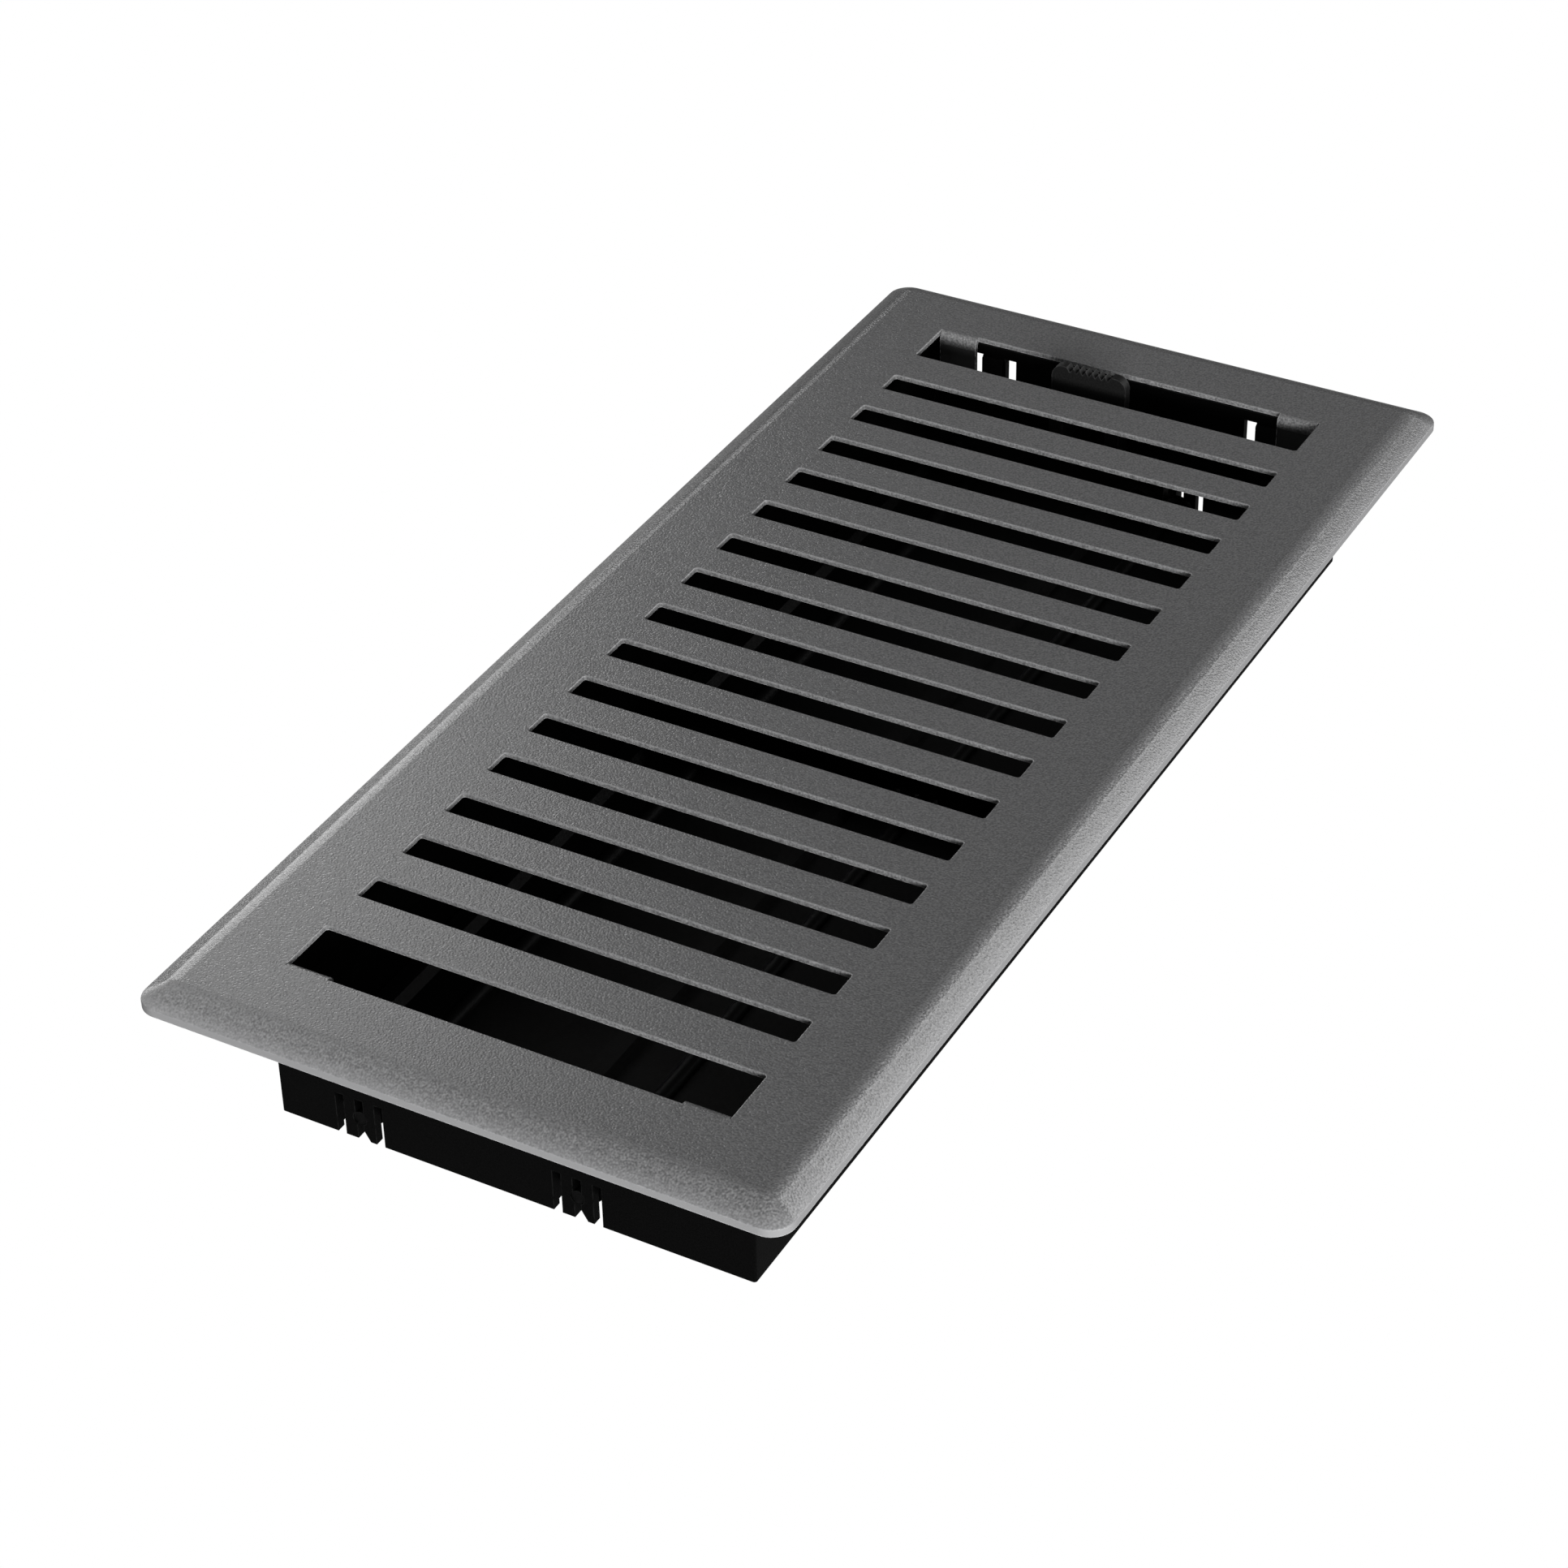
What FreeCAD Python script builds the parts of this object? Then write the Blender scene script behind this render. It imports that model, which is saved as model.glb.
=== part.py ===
import FreeCAD, Part
import math
import os

os.makedirs("parts", exist_ok=True)

# Floor register with a damper, for a nominal 4 by 10 inch duct opening. Millimetres.
# X runs across it, Y along it towards the end with the thumb slider, and Z points up.
# The origin lies under the middle of the plate, level with the bottom of the damper box.
# It is drawn with the damper closed, which is how it rests.

# Face plate
plate_length = 283.6
plate_width = 126.4
sheet = 1.0
bevel_run = 4.75
bevel_drop = 2.75
lip_height = 1.45
plate_corner = 4.5
crease_corner = 1.7
crease_round = 4.9
rim_round = 0.25
arris = 0.25

# Slots in the face plate
slot_length = 87.0
slot_width = 6.2
slot_pitch = 14.08
slot_count = 15
slot_corner = 0.6
end_slot_width = 12.5

# Tabs folded down from the outer edges of the end slots
tab_width = 8.5
tab_side_gap = 0.2
tab_bend = 0.6
tab_gap = 0.15
tab_root = 0.5
ear_height = 2.6
ear_play = 0.2
ear_short = 1.0

# Damper box, which sits a little right of the plate's middle
box_middle = 0.75
box_length = 250.1
box_width = 95.1
box_height = 31.8
box_wall = 1.8
box_corner = 0.6
web_height = 16.8

# Snap fingers in the end walls
finger_width = 5.6
finger_slit = 2.5
finger_band = 2.4
finger_length = 5.8
finger_neck = 0.3
finger_neck_height = 1.0
wedge_start = 0.4
wedge_depth = 1.6
wedge_inset = 0.6
wedge_gap = 0.15
wedge_nose = 0.5
window_play = 0.8

# Split snap bearings that the blades turn in
pivot_inset = 16.75
pivot_height = 4.6
blade_pitch = 44.0
pin_radius = 1.3
pin_clearance = 0.06
prong_span = 6.3
prong_slit = 1.7
prong_height = 8.8
prong_depth = 3.0
pad_reach = 2.2
rib_width = 1.5
rib_foot = 1.1
relief_width = 1.7
throat_width = 1.3
mouth_reach = 1.9
mouth_height = 2.1

# Damper blades
blade_thickness = 1.5
lip_reach = 14.6
lip_width = 3.6
lip_jog = 1.4
blade_lap = 2.2
lap_clearance = 0.2
spine_radius = 2.0
collar_radius = 3.4
collar_thickness = 1.2
blade_end_gap = 0.35
web_gap = 0.6
blade_swing = 85.0
ledge_width = 2.8
ledge_thickness = 1.5

# Cranks on the blades
crank_radius = 8.0
crank_pin_radius = 1.25
crank_clearance = 0.12
crank_wall = 1.2
arm_thickness = 1.8
arm_gap = 0.6
pin_recess = 0.3

# Thumb slider and link bar
thumb_width = 17.0
thumb_rise = 2.8
thumb_thickness = 2.2
thumb_skirt = 6.5
thumb_corner = 2.6
tooth_pitch = 1.46
tooth_depth = 1.1
tooth_count = 6
leg_width = 3.1
leg_depth = 4.0
leg_start = 4.8
leg_inset = 0.5
bar_thickness = 2.6
bar_wall = 1.7
bar_margin = 2.8
bar_room = 0.6
slot_head = 0.35

# Guide rail on the far end wall
rail_drop = 11.0
rail_depth = 3.8
rail_thickness = 2.0
rail_overrun = 2.0
shoe_wall = 2.0
shoe_play = 0.15
shoe_end_play = 0.2
shoe_wall_gap = 0.65

# Sizes that follow from those
plate_top = box_height + sheet
lip_top = plate_top - bevel_drop
rim_level = lip_top - lip_height
half_box_length = box_length / 2
half_box_width = box_width / 2
inner_y = half_box_length - box_wall
inner_x = half_box_width - box_wall
left_pivot = box_middle - half_box_width + pivot_inset
pivots = [left_pivot, left_pivot + blade_pitch]

tab_back = inner_y - tab_gap
tab_face = tab_back - sheet
end_slot_outer = tab_back + tab_bend
end_slot_inner = end_slot_outer - end_slot_width
end_slot_middle = (end_slot_outer + end_slot_inner) / 2
tab_outer_side = slot_length / 2 - tab_side_gap
tab_inner_side = tab_outer_side - tab_width

wedge_outer = tab_inner_side - abs(box_middle) - wedge_gap
finger_offset = wedge_outer + wedge_inset - finger_width / 2
finger_root = box_height - finger_band
finger_hook = finger_root - finger_length
ear_top = finger_hook - ear_play
ear_bottom = ear_top - ear_height
ear_end = finger_offset - finger_width / 2 + ear_short

swing = math.radians(blade_swing)
travel_per_radian = crank_radius * math.cos(swing / 4)
lever_travel = travel_per_radian * swing
crank_play = crank_radius * math.sin(swing / 4) - travel_per_radian * swing / 4

lever_back = end_slot_middle + thumb_thickness / 2
bar_front = lever_back - bar_thickness
arm_far = bar_front - arm_gap
linkage_start = arm_far - arm_thickness
blade_end = half_box_length - prong_depth - blade_end_gap
pin_end = half_box_length - pin_recess
edge_reach = blade_pitch - lip_reach + blade_lap
lip_level = blade_thickness / 2 + lap_clearance

lever_x = -lever_travel / 2
slot_top = pivot_height + crank_radius + crank_pin_radius + slot_head
bar_top = slot_top + bar_wall
bar_bottom = pivot_height + spine_radius + bar_room
crank_slot_half = crank_pin_radius + crank_play + crank_clearance
rail_top = plate_top - rail_drop
rail_bottom = rail_top - rail_thickness
rail_front = inner_y - rail_depth

FAR = 1
NEAR = -1
OVER = 1.0


def block(x0, x1, y0, y1, z0, z1):
    """A box between two corners, given in any order."""
    size = (abs(x1 - x0), abs(y1 - y0), abs(z1 - z0))
    corner = FreeCAD.Vector(min(x0, x1), min(y0, y1), min(z0, z1))
    return Part.makeBox(size[0], size[1], size[2], corner)


def round_outline(half_x, half_y, radius, z):
    """A rectangle with round corners, centred on the origin, as a closed wire."""
    corners = [(half_x, half_y, 0), (-half_x, half_y, 90), (-half_x, -half_y, 180), (half_x, -half_y, 270)]
    arcs = []
    for x, y, start in corners:
        centre_x = x - math.copysign(radius, x)
        centre_y = y - math.copysign(radius, y)
        points = []
        for turn in (0, 45, 90):
            angle = math.radians(start + turn)
            px = centre_x + radius * math.cos(angle)
            py = centre_y + radius * math.sin(angle)
            points.append(FreeCAD.Vector(px, py, z))
        arcs.append(points)
    edges = []
    for number, points in enumerate(arcs):
        after = arcs[(number + 1) % len(arcs)]
        edges.append(Part.Arc(points[0], points[1], points[2]).toShape())
        edges.append(Part.LineSegment(points[2], after[0]).toShape())
    return Part.Wire(edges)


def side_profile(points, x0, x1):
    """A closed outline of (y, z) points, made solid from x0 to x1."""
    corners = [FreeCAD.Vector(x0, y, z) for y, z in points]
    face = Part.Face(Part.makePolygon(corners + corners[:1]))
    return face.extrude(FreeCAD.Vector(x1 - x0, 0, 0))


def end_profile(points, y0, y1):
    """A closed outline of (x, z) points, made solid from y0 to y1."""
    corners = [FreeCAD.Vector(x, y0, z) for x, z in points]
    face = Part.Face(Part.makePolygon(corners + corners[:1]))
    return face.extrude(FreeCAD.Vector(0, y1 - y0, 0))


def rod(radius, x, z, y0, y1):
    """A round bar along Y."""
    return Part.makeCylinder(radius, y1 - y0, FreeCAD.Vector(x, y0, z), FreeCAD.Vector(0, 1, 0))


def join(shapes):
    """Several touching solids as one, without the seams between them."""
    return shapes[0].fuse(shapes[1:]).removeSplitter()


def dished_block(half_x, half_y, inset, top, bottom, top_corner, bottom_corner):
    """A low frustum with round corners, wider at its foot by inset on every side."""
    upper = round_outline(half_x - inset, half_y - inset, top_corner, top)
    lower = round_outline(half_x, half_y, bottom_corner, bottom)
    return Part.makeLoft([upper, lower], True, True)


def edges_at(shape, level, half_x, half_y, inside):
    """The edges that lie flat at one level, inside or outside a centred rectangle."""
    found = []
    for edge in shape.Edges:
        box = edge.BoundBox
        flat = abs(box.ZMin - level) < 0.01 and abs(box.ZMax - level) < 0.01
        reach_x = max(abs(box.XMin), abs(box.XMax))
        reach_y = max(abs(box.YMin), abs(box.YMax))
        within = reach_x < half_x and reach_y < half_y
        if flat and within == inside:
            found.append(edge)
    return found


def plate_shell():
    """The pressed sheet before its slots are cut: flat top, bevel, and a lip turned down."""
    half_x = plate_width / 2
    half_y = plate_length / 2
    slope = dished_block(half_x, half_y, bevel_run, plate_top, lip_top, crease_corner, plate_corner)
    lip = Part.Face(round_outline(half_x, half_y, plate_corner, rim_level))
    outside = slope.fuse(lip.extrude(FreeCAD.Vector(0, 0, lip_height))).removeSplitter()
    crease = edges_at(outside, plate_top, half_x, half_y, True)
    outside = outside.makeFillet(crease_round, crease)
    lip_edges = edges_at(outside, lip_top, half_x * 2, half_y * 2, True)
    outside = outside.makeFillet(rim_round, lip_edges)
    fold = math.atan2(bevel_drop, bevel_run)
    well_top = lip_top + sheet * math.tan(fold) - sheet / math.cos(fold)
    well_inset = (plate_top - sheet - well_top) / math.tan(fold)
    well_corner = plate_corner - sheet
    under_top = dished_block(
        half_x - sheet, half_y - sheet, well_inset, plate_top - sheet, well_top, crease_corner, well_corner)
    well = Part.Face(round_outline(half_x - sheet, half_y - sheet, well_corner, rim_level - OVER))
    behind_lip = well.extrude(FreeCAD.Vector(0, 0, well_top - rim_level + OVER))
    return outside.cut([under_top, behind_lip])


def slot_cutters():
    """One cutter for each slot: the row of narrow ones and a wide one at each end."""
    depth = FreeCAD.Vector(0, 0, sheet + 2 * OVER)
    level = plate_top - sheet - OVER
    narrow = Part.Face(round_outline(slot_length / 2, slot_width / 2, slot_corner, level)).extrude(depth)
    wide = Part.Face(round_outline(slot_length / 2, end_slot_width / 2, slot_corner, level)).extrude(depth)
    cutters = []
    for number in range(slot_count):
        y = (number - (slot_count - 1) / 2) * slot_pitch
        cutters.append(narrow.translated(FreeCAD.Vector(0, y, 0)))
    for end in (NEAR, FAR):
        cutters.append(wide.translated(FreeCAD.Vector(0, end * end_slot_middle, 0)))
    return cutters


def folded_tab(end, side):
    """A tab bent down inside the end wall, with an ear that catches under the snap finger."""
    bend_outer = tab_bend + sheet
    bend_level = plate_top - bend_outer
    mid = math.sqrt(0.5)

    def at(y, z):
        return FreeCAD.Vector(side * tab_inner_side, end * y, z)

    root = end_slot_outer + tab_root
    outer_mid = at(end_slot_outer - bend_outer * mid, bend_level + bend_outer * mid)
    inner_mid = at(end_slot_outer - tab_bend * mid, bend_level + tab_bend * mid)
    edges = [
        Part.LineSegment(at(root, plate_top), at(end_slot_outer, plate_top)).toShape(),
        Part.Arc(at(end_slot_outer, plate_top), outer_mid, at(tab_face, bend_level)).toShape(),
        Part.LineSegment(at(tab_face, bend_level), at(tab_face, ear_bottom)).toShape(),
        Part.LineSegment(at(tab_face, ear_bottom), at(tab_back, ear_bottom)).toShape(),
        Part.LineSegment(at(tab_back, ear_bottom), at(tab_back, bend_level)).toShape(),
        Part.Arc(at(tab_back, bend_level), inner_mid, at(end_slot_outer, plate_top - sheet)).toShape(),
        Part.LineSegment(at(end_slot_outer, plate_top - sheet), at(root, plate_top - sheet)).toShape(),
        Part.LineSegment(at(root, plate_top - sheet), at(root, plate_top)).toShape(),
    ]
    strip = Part.Face(Part.Wire(edges)).extrude(FreeCAD.Vector(side * tab_width, 0, 0))
    ear = block(
        side * ear_end, side * tab_outer_side,
        end * tab_face, end * tab_back,
        ear_bottom, ear_top)
    return strip.fuse(ear)


def face_plate():
    """The stamped grille: pressed sheet, slots with softened edges, and four folded tabs."""
    plate = plate_shell().cut(slot_cutters())
    reach_x = slot_length / 2 + OVER
    reach_y = end_slot_outer + OVER
    plate = plate.makeFillet(arris, edges_at(plate, plate_top, reach_x, reach_y, True))
    tabs = []
    for end in (NEAR, FAR):
        for side in (-1, 1):
            tabs.append(folded_tab(end, side))
    return join([plate] + tabs)


def snap_window(end, side):
    """The opening round a snap finger, cut right through the end wall."""
    middle = box_middle + side * finger_offset
    half = finger_width / 2 + finger_slit
    return block(
        middle - half, middle + half,
        end * (inner_y - OVER), end * (half_box_length + OVER),
        ear_bottom - window_play, finger_root)


def snap_finger(end, side):
    """A finger that hangs from the top band, with a wedge inside that ends in a hook."""
    middle = box_middle + side * finger_offset
    half = finger_width / 2
    neck = half - finger_neck
    shoulder = finger_root - finger_neck_height
    outline = [
        (middle - neck, box_height), (middle + neck, box_height), (middle + neck, finger_root),
        (middle + half, shoulder), (middle + half, finger_hook), (middle - half, finger_hook),
        (middle - half, shoulder), (middle - neck, finger_root)]
    strip = end_profile(outline, end * inner_y, end * half_box_length)
    wedge_top = finger_root - wedge_start
    nose = inner_y - wedge_depth
    wedge_half = half - wedge_inset
    wedge = side_profile(
        [(end * inner_y, wedge_top), (end * nose, finger_hook + wedge_nose),
         (end * nose, finger_hook), (end * inner_y, finger_hook)],
        middle - wedge_half, middle + wedge_half)
    return strip.fuse(wedge)


def bearing_pads(x, end):
    """What thickens the end wall at a bearing: a pad round the pin and a rib left of its slit."""
    inside = end * (half_box_length - prong_depth)
    left = x - prong_span / 2
    rib_side = left - prong_slit
    pad = block(left, x + pad_reach, inside, end * inner_y, 0, prong_height)
    rib = block(rib_side - rib_width, rib_side, inside, end * inner_y, rib_foot, prong_height)
    return [pad, rib]


def bearing_cutter(x, y0, y1):
    """What a snap bearing leaves open: side slits, keyhole, throat and a mouth sloped on one side."""
    half_span = prong_span / 2
    half_relief = relief_width / 2
    half_throat = throat_width / 2
    left_slit = block(x - half_span - prong_slit, x - half_span, y0, y1, -OVER, prong_height)
    right_slit = block(x + half_span, x + half_span + prong_slit, y0, y1, -OVER, prong_height)
    relief = block(x - half_relief, x + half_relief, y0, y1, pivot_height, prong_height)
    throat = block(x - half_throat, x + half_throat, y0, y1, -OVER, pivot_height)
    mouth = end_profile(
        [(x - half_throat, -OVER), (x + mouth_reach, -OVER), (x + mouth_reach, 0),
         (x + half_throat, mouth_height), (x - half_throat, mouth_height)],
        y0, y1)
    hole = rod(pin_radius + pin_clearance, x, pivot_height, y0, y1)
    return join([hole, relief, throat, mouth]).fuse([left_slit, right_slit])


def tab_relief(end, side):
    """A chamfer on the end wall's inner top edge, where a tab bends down over it."""
    return side_profile(
        [(end * (inner_y - OVER), box_height - tab_bend), (end * inner_y, box_height - tab_bend),
         (end * (inner_y + tab_bend), box_height), (end * (inner_y + tab_bend), box_height + OVER),
         (end * (inner_y - OVER), box_height + OVER)],
        side * (tab_inner_side - tab_side_gap), side * (tab_outer_side + tab_side_gap))


def stop_ledge(side):
    """A ledge on a long wall that a closing blade comes up or down against."""
    if side < 0:
        top = pivot_height + blade_thickness / 2
    else:
        top = pivot_height + lip_level + ledge_thickness
    runs = []
    wall = box_middle + side * inner_x
    half_web = box_wall / 2
    far_end = linkage_start if side < 0 else blade_end
    for y0, y1 in ((-blade_end, -half_web), (half_web, far_end)):
        runs.append(block(wall - side * ledge_width, wall, y0, y1, top - ledge_thickness, top))
    return runs


def damper_box():
    """The moulded frame under the plate, open at top and bottom."""
    left = box_middle - half_box_width
    right = box_middle + half_box_width
    inner_left = left + box_wall
    inner_right = right - box_wall
    outside = block(left, right, -half_box_length, half_box_length, 0, box_height)
    upright = [edge for edge in outside.Edges if edge.BoundBox.ZLength > box_height / 2]
    outside = outside.makeFillet(box_corner, upright)
    inside = block(inner_left, inner_right, -inner_y, inner_y, -OVER, box_height + OVER)
    frame = outside.cut(inside)
    half_web = box_wall / 2
    web = block(inner_left, inner_right, -half_web, half_web, 0, web_height)
    rail_half = lever_travel / 2 + thumb_width / 2 - leg_inset + rail_overrun
    rail = block(-rail_half, rail_half, rail_front, inner_y, rail_bottom, rail_top)
    windows = [snap_window(end, side) for end in (NEAR, FAR) for side in (-1, 1)]
    fingers = [snap_finger(end, side) for end in (NEAR, FAR) for side in (-1, 1)]
    pads = []
    for end in (NEAR, FAR):
        for x in pivots:
            pads.extend(bearing_pads(x, end))
    reliefs = [tab_relief(end, side) for end in (NEAR, FAR) for side in (-1, 1)]
    frame = frame.cut(windows)
    frame = join([frame, web, rail] + fingers + pads + stop_ledge(-1) + stop_ledge(1))
    bearings = []
    for x in pivots:
        wall_front = half_box_length - prong_depth - OVER / 4
        bearings.append(bearing_cutter(x, -half_box_length - OVER, -wall_front))
        bearings.append(bearing_cutter(x, wall_front, half_box_length + OVER))
        bearings.append(bearing_cutter(x, -half_web - OVER, half_web + OVER))
    return frame.cut(bearings + reliefs)


def crank(x):
    """The arm on a blade's far end, with the pin that the link bar pushes."""
    lean = -swing / 2
    pin_x = x + crank_radius * math.sin(lean)
    pin_z = pivot_height + crank_radius * math.cos(lean)
    arm_near = linkage_start - arm_thickness / 2
    hub_radius = spine_radius
    tip_radius = crank_pin_radius + crank_wall
    across_x = math.cos(lean)
    across_z = -math.sin(lean)
    cheek = end_profile(
        [(x - hub_radius * across_x, pivot_height - hub_radius * across_z),
         (x + hub_radius * across_x, pivot_height + hub_radius * across_z),
         (pin_x + tip_radius * across_x, pin_z + tip_radius * across_z),
         (pin_x - tip_radius * across_x, pin_z - tip_radius * across_z)],
        arm_near, arm_far)
    hub = rod(hub_radius, x, pivot_height, arm_near, arm_far)
    tip = rod(tip_radius, pin_x, pin_z, arm_near, arm_far)
    pin = rod(crank_pin_radius, pin_x, pin_z, arm_near, lever_back + arm_gap)
    return [cheek, hub, tip, pin]


def blade(x):
    """A damper blade closed on its pivot line: panel, raised lip, spine, pins and crank.

    The side that swings up stops short of the link bar, and the rest runs on under it.
    """
    half = blade_thickness / 2
    upper = lip_level + blade_thickness
    lip_end = -lip_reach
    lip_root = lip_end + lip_width
    section = [
        (lip_end, lip_level), (lip_end, upper), (lip_root, upper), (lip_root + lip_jog, half),
        (edge_reach, half), (edge_reach, -half), (lip_root + lip_jog - half, -half),
        (lip_root - half, lip_level)]
    outline = [(x + across, pivot_height + up) for across, up in section]
    panel = end_profile(outline, -blade_end, blade_end)
    linkage_room = block(
        x - lip_reach - OVER, x - spine_radius, linkage_start, blade_end + OVER,
        pivot_height - half - OVER, pivot_height + upper + OVER)
    spine = rod(spine_radius, x, pivot_height, -blade_end, blade_end)
    half_notch = box_wall / 2 + web_gap
    notch = block(
        x - lip_reach - OVER, x + edge_reach + OVER, -half_notch, half_notch,
        pivot_height - spine_radius - OVER, pivot_height + upper + OVER)
    body = panel.cut(linkage_room).fuse(spine).cut(notch)
    pins = rod(pin_radius, x, pivot_height, -pin_end, pin_end)
    near_collar = rod(collar_radius, x, pivot_height, -blade_end, collar_thickness - blade_end)
    far_collar = rod(collar_radius, x, pivot_height, blade_end - collar_thickness, blade_end)
    return join([body, pins, near_collar, far_collar] + crank(x))


def thumb_outline():
    """The ridged top of the slider, seen along Y, as a closed face."""
    half = thumb_width / 2
    top = plate_top + thumb_rise
    foot = plate_top - thumb_skirt
    bow = thumb_corner * (1 - math.sqrt(0.5))
    first = -(tooth_count + 1) * tooth_pitch / 2

    def at(across, z):
        return FreeCAD.Vector(lever_x + across, lever_back - thumb_thickness, z)

    edges = [
        Part.LineSegment(at(-half, foot), at(-half, top - thumb_corner)).toShape(),
        Part.Arc(at(-half, top - thumb_corner), at(-half + bow, top - bow), at(-half + thumb_corner, top)).toShape(),
    ]
    ridge = [(-half + thumb_corner, top), (first, top)]
    for number in range(tooth_count + 1):
        ridge.append((first + (number + 0.5) * tooth_pitch, top - tooth_depth))
        ridge.append((first + (number + 1) * tooth_pitch, top))
    ridge.append((half - thumb_corner, top))
    for start, stop in zip(ridge, ridge[1:]):
        edges.append(Part.LineSegment(at(start[0], start[1]), at(stop[0], stop[1])).toShape())
    edges.append(
        Part.Arc(at(half - thumb_corner, top), at(half - bow, top - bow), at(half, top - thumb_corner)).toShape())
    edges.append(Part.LineSegment(at(half, top - thumb_corner), at(half, foot)).toShape())
    edges.append(Part.LineSegment(at(half, foot), at(-half, foot)).toShape())
    return Part.Face(Part.Wire(edges))


def slider_leg(side):
    """One leg, with a shoe behind it that rides on the guide rail."""
    outer = lever_x + side * (thumb_width / 2 - leg_inset)
    inner = outer - side * leg_width
    leg = block(outer, inner, lever_back - leg_depth, lever_back, bar_top - OVER / 2, plate_top - leg_start)
    shoe = block(
        outer, inner, lever_back - OVER / 2, inner_y - shoe_wall_gap,
        rail_bottom - shoe_play - shoe_wall, rail_top + shoe_play + shoe_wall)
    groove = block(
        outer - side * (leg_width + OVER), outer + side * OVER,
        rail_front - shoe_end_play, inner_y,
        rail_bottom - shoe_play, rail_top + shoe_play)
    return [leg, shoe.cut(groove)]


def slide_lever():
    """The thumb slider, its legs and the link bar with an open slot for each crank pin."""
    thumb = thumb_outline().extrude(FreeCAD.Vector(0, thumb_thickness, 0))
    centres = [x - lever_travel / 2 for x in pivots]
    reach = crank_slot_half + bar_margin
    bar = block(centres[0] - reach, centres[-1] + reach, bar_front, lever_back, bar_bottom, bar_top)
    slots = []
    for x in centres:
        slots.append(block(
            x - crank_slot_half, x + crank_slot_half, bar_front - OVER, lever_back + OVER,
            bar_bottom - OVER, slot_top))
    return join([thumb, bar.cut(slots)] + slider_leg(-1) + slider_leg(1))


pieces = {
    "face_plate": face_plate(),
    "damper_box": damper_box(),
    "left_blade": blade(pivots[0]),
    "right_blade": blade(pivots[1]),
    "slide_lever": slide_lever(),
}
for name, shape in pieces.items():
    print(name, len(shape.Solids), shape.isValid(), round(shape.Volume, 1))
    shape.exportStep("parts/" + name + ".step")
print("slider travel", round(lever_travel, 4), "blade radians per metre", round(1000 / travel_per_radian, 4))
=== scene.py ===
"""Looks of the floor register: powder-coated grille plate, black moulded damper, studio and camera."""

import math

import bmesh
import bpy
from mathutils import Matrix, Vector

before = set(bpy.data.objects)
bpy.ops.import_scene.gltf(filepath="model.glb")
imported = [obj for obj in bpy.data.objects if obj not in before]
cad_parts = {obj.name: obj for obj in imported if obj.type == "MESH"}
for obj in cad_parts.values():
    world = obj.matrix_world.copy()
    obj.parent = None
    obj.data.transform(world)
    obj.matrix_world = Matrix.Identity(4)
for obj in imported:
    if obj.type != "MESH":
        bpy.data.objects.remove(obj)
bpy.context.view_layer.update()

MM = 0.001
WHITE = (1.0, 1.0, 1.0, 1.0)

# The photograph's camera, found from the slots, the rim and the box
PHOTO_SIDE = 1932
FOCAL_PIXELS = 4852.1
SENSOR_WIDTH = 36.0
CAMERA_PLACE = Vector((290.96, -540.60, 449.06)) * MM
CAMERA_AIM = Vector((6.715, -38.475, 32.8)) * MM
CAMERA_ROLL = math.radians(-1.246)
CLIP_START = 0.01
CLIP_END = 50.0

# Studio, in metres round the middle of the plate
FLOOR_SIDE = 14.0
FLOOR_LEVEL = -0.045
FLOOR_TONE = 0.2
FLOOR_ROUGHNESS = 0.9
AMBIENT = 0.13
SUBJECT = Vector((0.0, 0.0, 0.03))
LIGHTS = [
    # name, azimuth from +X, height angle, distance, width, length, watts, seen in reflections
    ("left_panel", 180.0, 29.0, 0.38, 0.43, 0.54, 1.4, True),
    ("far_left_strip", 137.0, 23.0, 1.01, 0.10, 0.43, 0.8, True),
    ("low_left_panel", 150.0, 5.0, 1.00, 0.20, 0.50, 0.7, True),
    ("far_right_panel", 46.0, 28.0, 0.80, 0.60, 0.46, 3.1, True),
    ("low_front_panel", 316.0, 6.8, 1.90, 0.45, 2.00, 145.0, False),
]

# Grain: how soft its domes are, the shares of domes and fine noise in its height, and its middle height
DOME_SOFTNESS = 0.6
DOME_SHARE = 0.4
FINE_SHARE = 0.6
MIDDLE_HEIGHT = 0.5

# The part of a noise's range that holds nearly all of its values
NOISE_LOW = 0.25
NOISE_HIGH = 0.75

# Cloudy wear, and the edges paler partly from rubbing and partly as a painted highlight: radius in mm, rays, the
# turns of the surface between which the paler edge sets in, and the patches that break it up
CLOUDS_PER_METRE = 30.0
CLOUD_DETAIL = 4.0
CLOUD_ROUGHNESS = 0.55
EDGE_RADIUS = 0.3
EDGE_RAYS = 4
EDGE_TURNS = (0.01, 0.12)
PATCHES_PER_METRE = 900.0
PATCH_RANGE = (0.3, 0.6)

# Heights on the plate in mm: its flat top, where the slope begins and has its full change, and the top of
# the lip with half the height over which the grain ends there
PLATE_TOP = 32.8
SLOPE_START = 0.05
SLOPE_FULL = 0.25
LIP_TOP = 30.0
LIP_BLEND = 0.1

# The slope's share of the grain's bump, how much painted relief shade goes with its grain, and how far up the
# painted lip light and tab shade reach, in mm
SLOPE_GRAIN = 0.75
SLOPE_PAINTED_RELIEF = 0.9
PAINTED_BAND_RISE = 1.5

# Half the space inside the damper box, where the low parts of the plate are its tabs, with the width of
# the change in mm, and the tones of the lip, paler as painted light, and of the tabs' lower ends, darker as
# painted shade
INNER_HALF_WIDTH = 48.0
INNER_HALF_LENGTH = 126.0
INNER_BLEND = 1.0
LIP_PAINTED_LIGHT_TONE = (0.125, 0.125, 0.127)
TAB_PAINTED_SHADE_TONE = (0.020, 0.020, 0.020)
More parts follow.
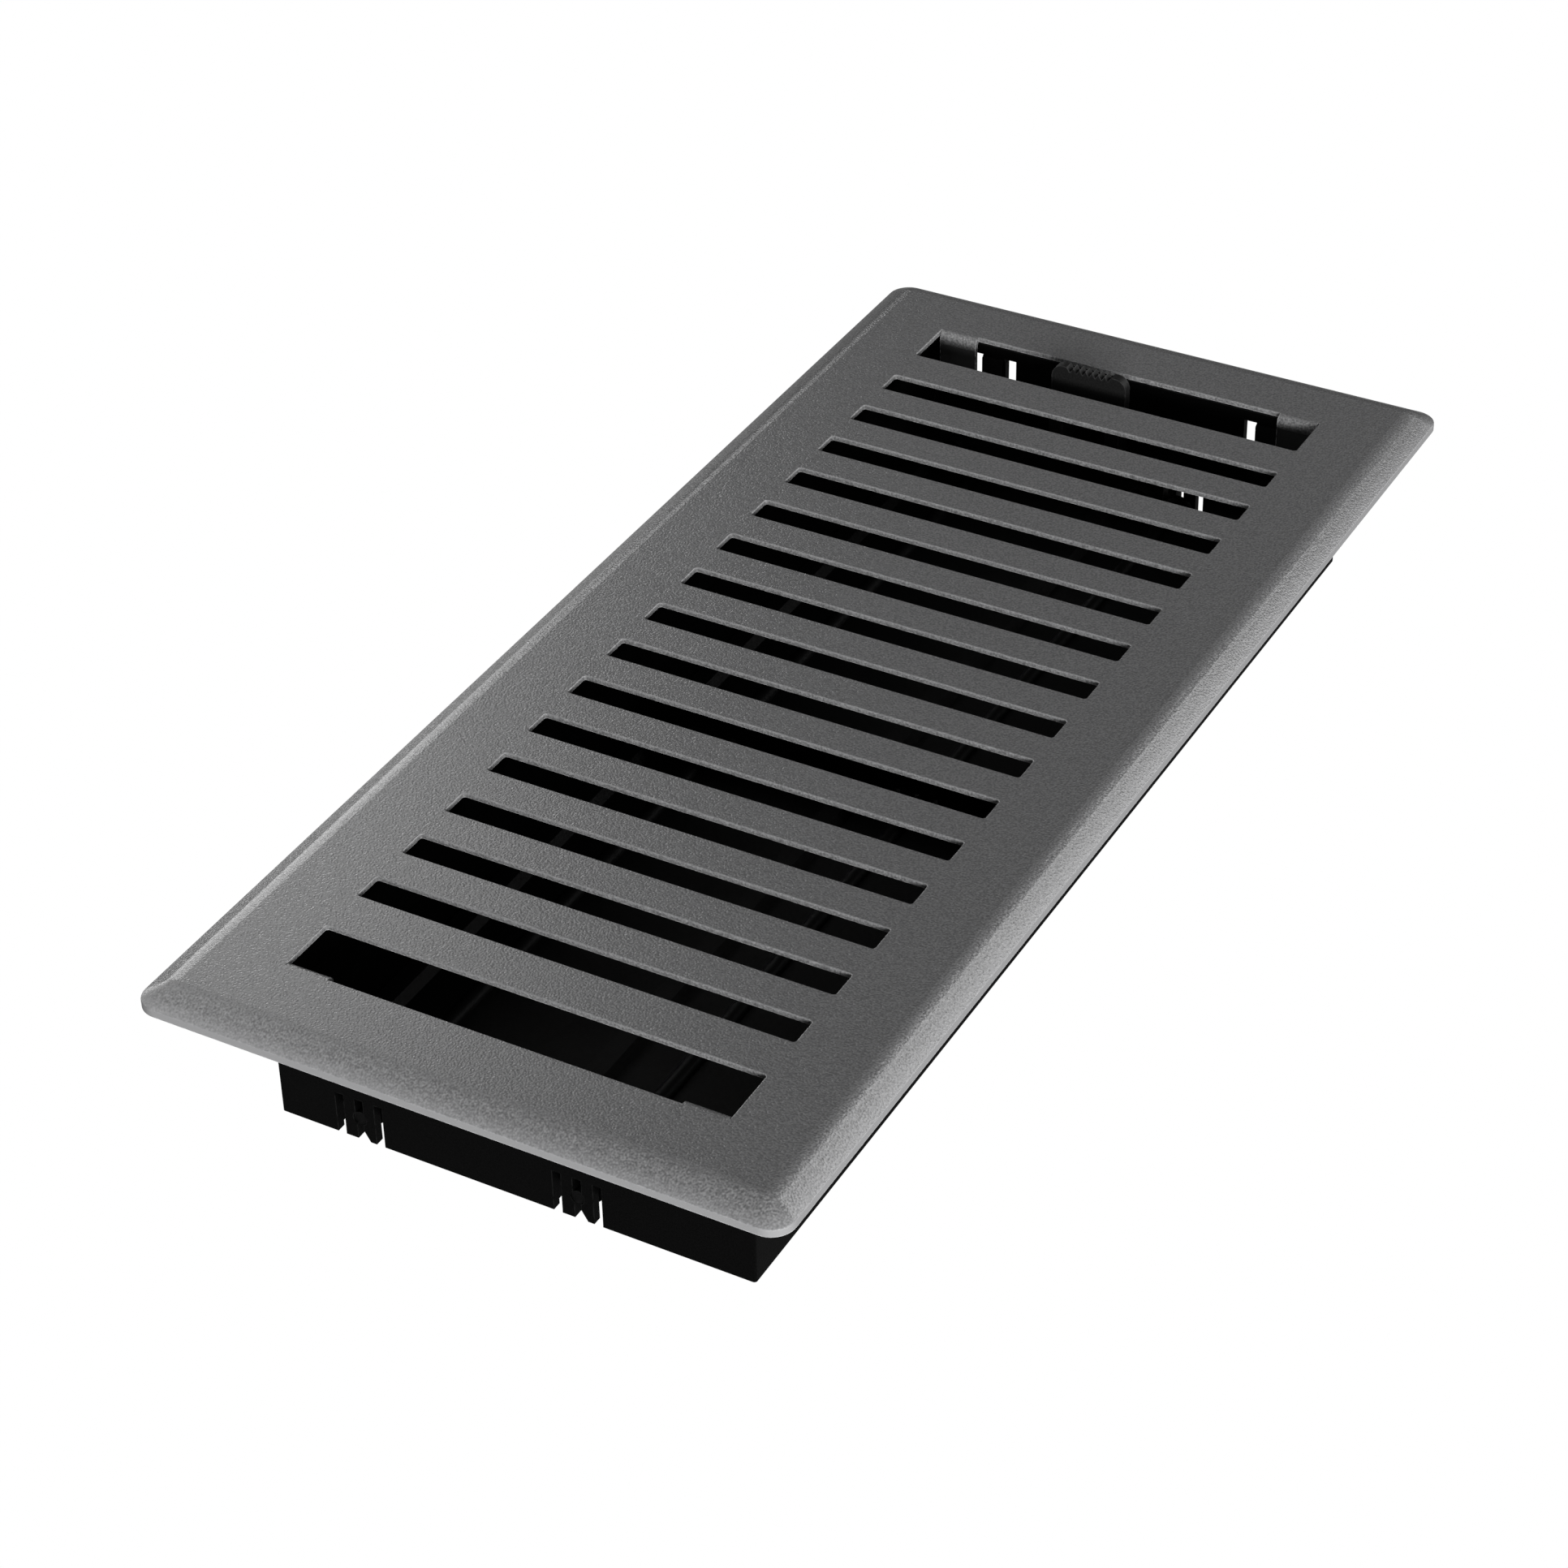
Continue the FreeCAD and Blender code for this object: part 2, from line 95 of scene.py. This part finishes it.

# Tones of the mottle and of the edges, paler partly from rubbing and partly as a painted highlight, grains per
# metre, bump in mm, roughness from least to most worn, specular level, and whether the slope, lip and tabs get
# painted light and shade
FINISHES = {
    "grey_powder_coat": {
        "dark": (0.062, 0.062, 0.063), "light": (0.100, 0.100, 0.101), "rubbed_and_highlit": (0.24, 0.24, 0.243),
        "grains": 2600.0, "bump_mm": 0.085, "roughness": (0.21, 0.25), "gloss": 0.5,
        "by_place": True},
    "black_box_plastic": {
        "dark": (0.0005, 0.0005, 0.0005), "light": (0.0009, 0.0009, 0.0009), "rubbed_and_highlit": (0.006, 0.006, 0.006),
        "grains": 3000.0, "bump_mm": 0.03, "roughness": (0.46, 0.54), "gloss": 0.06},
    "black_blade_plastic": {
        "dark": (0.0010, 0.0010, 0.0010), "light": (0.0018, 0.0018, 0.0018), "rubbed_and_highlit": (0.006, 0.006, 0.006),
        "grains": 3000.0, "bump_mm": 0.02, "roughness": (0.42, 0.50), "gloss": 0.08},
    "black_lever_plastic": {
        "dark": (0.003, 0.003, 0.003), "light": (0.005, 0.005, 0.005), "rubbed_and_highlit": (0.025, 0.025, 0.025),
        "grains": 3000.0, "bump_mm": 0.03, "roughness": (0.40, 0.48), "gloss": 0.15},
}
WORN_BY = {
    "face_plate": "grey_powder_coat",
    "damper_box": "black_box_plastic",
    "left_blade": "black_blade_plastic",
    "right_blade": "black_blade_plastic",
    "slide_lever": "black_lever_plastic",
}


def new_group(name, inputs, outputs):
    """An empty shader node group with float or vector inputs and outputs."""
    group = bpy.data.node_groups.new(name, "ShaderNodeTree")
    for label, kind in inputs:
        group.interface.new_socket(label, in_out="INPUT", socket_type=kind)
    for label, kind in outputs:
        group.interface.new_socket(label, in_out="OUTPUT", socket_type=kind)
    return group, group.nodes.new("NodeGroupInput"), group.nodes.new("NodeGroupOutput")


def feed(tree, socket, given):
    """Sets a socket to a value, or links it."""
    if isinstance(given, (int, float)):
        socket.default_value = given
    else:
        tree.links.new(given, socket)


def maths(tree, operation, *given):
    """A maths node on values or links."""
    node = tree.nodes.new("ShaderNodeMath")
    node.operation = operation
    for socket, value in zip(node.inputs, given):
        feed(tree, socket, value)
    return node.outputs[0]


def noise(tree, vector, scale, detail, roughness):
    """A noise texture, whose scale may be a link."""
    node = tree.nodes.new("ShaderNodeTexNoise")
    tree.links.new(vector, node.inputs["Vector"])
    feed(tree, node.inputs["Scale"], scale)
    node.inputs["Detail"].default_value = detail
    node.inputs["Roughness"].default_value = roughness
    return node.outputs["Fac"]


def ramp(tree, value, low, high, start=0.0, end=1.0):
    """Goes from a start to an end, 0 to 1 or others, as a value goes from low to high."""
    node = tree.nodes.new("ShaderNodeMapRange")
    node.inputs["From Min"].default_value = low
    node.inputs["From Max"].default_value = high
    node.inputs["To Min"].default_value = start
    node.inputs["To Max"].default_value = end
    tree.links.new(value, node.inputs["Value"])
    return node.outputs["Result"]


def mix_tone(tree, factor, first, second):
    """Goes from one colour to another, each given or linked, by a factor."""
    node = tree.nodes.new("ShaderNodeMix")
    node.data_type = "RGBA"
    for label, tone in (("A", first), ("B", second)):
        socket = next(s for s in node.inputs if s.name == label and s.type == "RGBA")
        if isinstance(tone, tuple):
            socket.default_value = (*tone, 1.0)
        else:
            tree.links.new(tone, socket)
    tree.links.new(factor, node.inputs["Factor"])
    return next(s for s in node.outputs if s.type == "RGBA")


def mix_shader(tree, factor, first, second):
    """Goes from one shader to another by a factor."""
    node = tree.nodes.new("ShaderNodeMixShader")
    tree.links.new(factor, node.inputs["Fac"])
    tree.links.new(first, node.inputs[1])
    tree.links.new(second, node.inputs[2])
    return node.outputs["Shader"]


def grain_group():
    """Fine pebbled grain of a coat or a mould: a height, and a mottle of light and dark."""
    group, entry, leave = new_group(
        "pebbled_grain",
        [("Vector", "NodeSocketVector"), ("Grains per metre", "NodeSocketFloat")],
        [("Height", "NodeSocketFloat"), ("Mottle", "NodeSocketFloat")])
    vector = entry.outputs["Vector"]
    count = entry.outputs["Grains per metre"]
    pebbles = group.nodes.new("ShaderNodeTexVoronoi")
    pebbles.feature = "SMOOTH_F1"
    pebbles.inputs["Smoothness"].default_value = DOME_SOFTNESS
    group.links.new(vector, pebbles.inputs["Vector"])
    group.links.new(count, pebbles.inputs["Scale"])
    fine = noise(group, vector, count, 0.0, 0.5)
    domes = maths(group, "SUBTRACT", 1.0, pebbles.outputs["Distance"])
    height = maths(group, "ADD", maths(group, "MULTIPLY", domes, DOME_SHARE),
                   maths(group, "MULTIPLY", fine, FINE_SHARE))
    group.links.new(height, leave.inputs["Height"])
    group.links.new(fine, leave.inputs["Mottle"])
    return group


def wear_group():
    """Slow, cloudy change over a surface, as handling and dust leave it, from 0 to 1."""
    group, entry, leave = new_group(
        "cloudy_wear",
        [("Vector", "NodeSocketVector"), ("Clouds per metre", "NodeSocketFloat")],
        [("Cloud", "NodeSocketFloat")])
    cloud = noise(group, entry.outputs["Vector"], entry.outputs["Clouds per metre"], CLOUD_DETAIL, CLOUD_ROUGHNESS)
    group.links.new(cloud, leave.inputs["Cloud"])
    return group


def edge_group():
    """Edges paler from rubbing and a painted highlight: 0 on a flat, up to 1 where the surface turns sharply
    within a small radius.
    """
    group, entry, leave = new_group(
        "rubbed_and_highlit_edge",
        [("Vector", "NodeSocketVector"), ("Radius in mm", "NodeSocketFloat")],
        [("Edge", "NodeSocketFloat")])
    rounded = group.nodes.new("ShaderNodeBevel")
    rounded.samples = EDGE_RAYS
    group.links.new(maths(group, "MULTIPLY", entry.outputs["Radius in mm"], MM), rounded.inputs["Radius"])
    surface = group.nodes.new("ShaderNodeNewGeometry")
    likeness = group.nodes.new("ShaderNodeVectorMath")
    likeness.operation = "DOT_PRODUCT"
    group.links.new(rounded.outputs["Normal"], likeness.inputs[0])
    group.links.new(surface.outputs["Normal"], likeness.inputs[1])
    turn = maths(group, "SUBTRACT", 1.0, likeness.outputs["Value"])
    patchy = noise(group, entry.outputs["Vector"], PATCHES_PER_METRE, 1.0, 0.5)
    # The mask for paler edges, partly rubbing and partly a painted highlight
    edge = maths(group, "MULTIPLY", ramp(group, turn, *EDGE_TURNS), ramp(group, patchy, *PATCH_RANGE))
    group.links.new(edge, leave.inputs["Edge"])
    return group


GRAIN = grain_group()
WEAR = wear_group()
EDGE = edge_group()


def place_group(tree, group, coordinates, name, value):
    """Puts a node group in a material with its one named value."""
    node = tree.nodes.new("ShaderNodeGroup")
    node.node_tree = group
    tree.links.new(coordinates, node.inputs["Vector"])
    node.inputs[name].default_value = value
    return node


def paint_light_and_shade_by_place(tree, coordinates, tone, height):
    """Paints light and shade on the plate's coat by place, and gives its tone and grain height there.

    The grain of the slope has less bump and a painted relief shade in its tone, the lip has no grain and a paler
    tone as painted light, and the tabs get a darker tone downwards as painted shade.
    """
    split = tree.nodes.new("ShaderNodeSeparateXYZ")
    tree.links.new(coordinates, split.inputs["Vector"])
    up = split.outputs["Z"]
    across = ramp(tree, maths(tree, "ABSOLUTE", split.outputs["X"]), INNER_HALF_WIDTH * MM,
                  (INNER_HALF_WIDTH + INNER_BLEND) * MM)
    along = ramp(tree, maths(tree, "ABSOLUTE", split.outputs["Y"]), INNER_HALF_LENGTH * MM,
                 (INNER_HALF_LENGTH + INNER_BLEND) * MM)
    # Painted light and shade: a dark tone on the tabs inside the box, a pale tone on the lip outside it
    low = mix_tone(tree, maths(tree, "MAXIMUM", across, along), TAB_PAINTED_SHADE_TONE, LIP_PAINTED_LIGHT_TONE)
    above_painted_band = ramp(tree, up, LIP_TOP * MM, (LIP_TOP + PAINTED_BAND_RISE) * MM)
    grainy = ramp(tree, up, (LIP_TOP - LIP_BLEND) * MM, (LIP_TOP + LIP_BLEND) * MM)
    flat = ramp(tree, up, (PLATE_TOP - SLOPE_FULL) * MM, (PLATE_TOP - SLOPE_START) * MM)

    swell = maths(tree, "SUBTRACT", height, MIDDLE_HEIGHT)
    share = maths(tree, "ADD", maths(tree, "MULTIPLY", flat, 1.0 - SLOPE_GRAIN), SLOPE_GRAIN)
    calmer = maths(tree, "ADD", maths(tree, "MULTIPLY", swell, share), MIDDLE_HEIGHT)
    # On the slope the tone follows the grain's height as a painted relief shade
    mottle = maths(tree, "MULTIPLY", maths(tree, "SUBTRACT", grainy, flat), SLOPE_PAINTED_RELIEF)
    tone_with_painted_light = tree.nodes.new("ShaderNodeVectorMath")
    tone_with_painted_light.operation = "SCALE"
    tree.links.new(mix_tone(tree, above_painted_band, low, tone), tone_with_painted_light.inputs[0])
    tree.links.new(maths(tree, "ADD", maths(tree, "MULTIPLY", swell, mottle), 1.0), tone_with_painted_light.inputs["Scale"])
    return tone_with_painted_light.outputs["Vector"], maths(tree, "MULTIPLY", calmer, grainy)


def grained_material(name, dark, light, rubbed_and_highlit, grains, bump_mm, roughness, gloss, by_place=False):
    """A coat or a moulding: mottled colour, edges paler from rubbing and a painted highlight, grain in the bump,
    and uneven roughness.
    """
    material = bpy.data.materials.new(name)
    material.use_nodes = True
    tree = material.node_tree
    shader = tree.nodes["Principled BSDF"]
    coordinates = tree.nodes.new("ShaderNodeTexCoord").outputs["Object"]
    grain = place_group(tree, GRAIN, coordinates, "Grains per metre", grains)
    wear = place_group(tree, WEAR, coordinates, "Clouds per metre", CLOUDS_PER_METRE)
    speckle = ramp(tree, grain.outputs["Mottle"], NOISE_LOW, NOISE_HIGH)
    tone = mix_tone(tree, speckle, dark, light)
    height = grain.outputs["Height"]
    if by_place:
        # On the plate, light and shade are painted by place
        tone, height = paint_light_and_shade_by_place(tree, coordinates, tone, height)
    edge = place_group(tree, EDGE, coordinates, "Radius in mm", EDGE_RADIUS)
    # Edges get a paler tone, partly from rubbing and partly as a painted highlight
    tree.links.new(mix_tone(tree, edge.outputs["Edge"], tone, rubbed_and_highlit), shader.inputs["Base Color"])
    rough = ramp(tree, wear.outputs["Cloud"], NOISE_LOW, NOISE_HIGH, *roughness)
    tree.links.new(rough, shader.inputs["Roughness"])
    shader.inputs["Specular IOR Level"].default_value = gloss
    bump = tree.nodes.new("ShaderNodeBump")
    bump.inputs["Strength"].default_value = 1.0
    bump.inputs["Distance"].default_value = bump_mm * MM
    tree.links.new(height, bump.inputs["Height"])
    tree.links.new(bump.outputs["Normal"], shader.inputs["Normal"])
    return material


def pale_floor():
    """The plain floor below the open blades' reach, white to the camera and clear from below."""
    mesh = bpy.data.meshes.new("pale_floor")
    shape = bmesh.new()
    bmesh.ops.create_grid(shape, x_segments=1, y_segments=1, size=FLOOR_SIDE / 2)
    bmesh.ops.translate(shape, verts=shape.verts, vec=(0.0, 0.0, FLOOR_LEVEL))
    shape.to_mesh(mesh)
    shape.free()
    floor = bpy.data.objects.new("pale_floor", mesh)
    bpy.context.scene.collection.objects.link(floor)
    material = bpy.data.materials.new("white_floor")
    material.use_nodes = True
    tree = material.node_tree
    shader = tree.nodes["Principled BSDF"]
    shader.inputs["Base Color"].default_value = (FLOOR_TONE, FLOOR_TONE, FLOOR_TONE, 1.0)
    shader.inputs["Roughness"].default_value = FLOOR_ROUGHNESS
    glow = tree.nodes.new("ShaderNodeEmission")
    glow.inputs["Color"].default_value = WHITE
    glow.inputs["Strength"].default_value = 1.0
    path = tree.nodes.new("ShaderNodeLightPath")
    clear = tree.nodes.new("ShaderNodeBsdfTransparent")
    side = tree.nodes.new("ShaderNodeNewGeometry")
    above = mix_shader(tree, path.outputs["Is Camera Ray"], shader.outputs["BSDF"], glow.outputs["Emission"])
    surface = mix_shader(tree, side.outputs["Backfacing"], above, clear.outputs["BSDF"])
    tree.links.new(surface, tree.nodes["Material Output"].inputs["Surface"])
    mesh.materials.append(material)


def studio_light(name, azimuth, height, distance, width, length, watts, reflected):
    """A soft box that faces the register, its long side level; one not reflected acts as polarised light."""
    turn = math.radians(azimuth)
    rise = math.radians(height)
    direction = Vector((math.cos(turn) * math.cos(rise), math.sin(turn) * math.cos(rise), math.sin(rise)))
    data = bpy.data.lights.new(name, "AREA")
    data.shape = "RECTANGLE"
    data.size = length
    data.size_y = width
    data.energy = watts
    lamp = bpy.data.objects.new(name, data)
    bpy.context.scene.collection.objects.link(lamp)
    lamp.visible_glossy = reflected
    lamp.location = SUBJECT + direction * distance
    lamp.rotation_euler = direction.to_track_quat("Z", "Y").to_euler()


def studio_world():
    """Weak even light from all round, with a white backdrop to the camera."""
    world = bpy.data.worlds.new("studio")
    bpy.context.scene.world = world
    world.use_nodes = True
    tree = world.node_tree
    ambient = tree.nodes["Background"]
    backdrop = tree.nodes.new("ShaderNodeBackground")
    for light, strength in ((ambient, AMBIENT), (backdrop, 1.0)):
        light.inputs["Color"].default_value = WHITE
        light.inputs["Strength"].default_value = strength
    path = tree.nodes.new("ShaderNodeLightPath")
    seen = mix_shader(tree, path.outputs["Is Camera Ray"], ambient.outputs["Background"],
                      backdrop.outputs["Background"])
    tree.links.new(seen, tree.nodes["World Output"].inputs["Surface"])


def photo_camera():
    """The camera where the photograph was taken from."""
    data = bpy.data.cameras.new("photo_camera")
    data.sensor_fit = "HORIZONTAL"
    data.sensor_width = SENSOR_WIDTH
    data.lens = FOCAL_PIXELS / PHOTO_SIDE * SENSOR_WIDTH
    data.clip_start = CLIP_START
    data.clip_end = CLIP_END
    camera = bpy.data.objects.new("photo_camera", data)
    bpy.context.scene.collection.objects.link(camera)
    level = (CAMERA_AIM - CAMERA_PLACE).to_track_quat("-Z", "Y").to_matrix()
    turned = level @ Matrix.Rotation(CAMERA_ROLL, 3, "Z")
    camera.matrix_world = Matrix.Translation(CAMERA_PLACE) @ turned.to_4x4()
    bpy.context.scene.camera = camera


materials = {name: grained_material(name, **finish) for name, finish in FINISHES.items()}
for node_name, finish_name in WORN_BY.items():
    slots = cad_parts[node_name].data.materials
    slots.clear()
    slots.append(materials[finish_name])

pale_floor()
studio_world()
for light in LIGHTS:
    studio_light(*light)
photo_camera()
bpy.context.scene.view_settings.view_transform = "Standard"
bpy.context.scene.view_settings.look = "None"
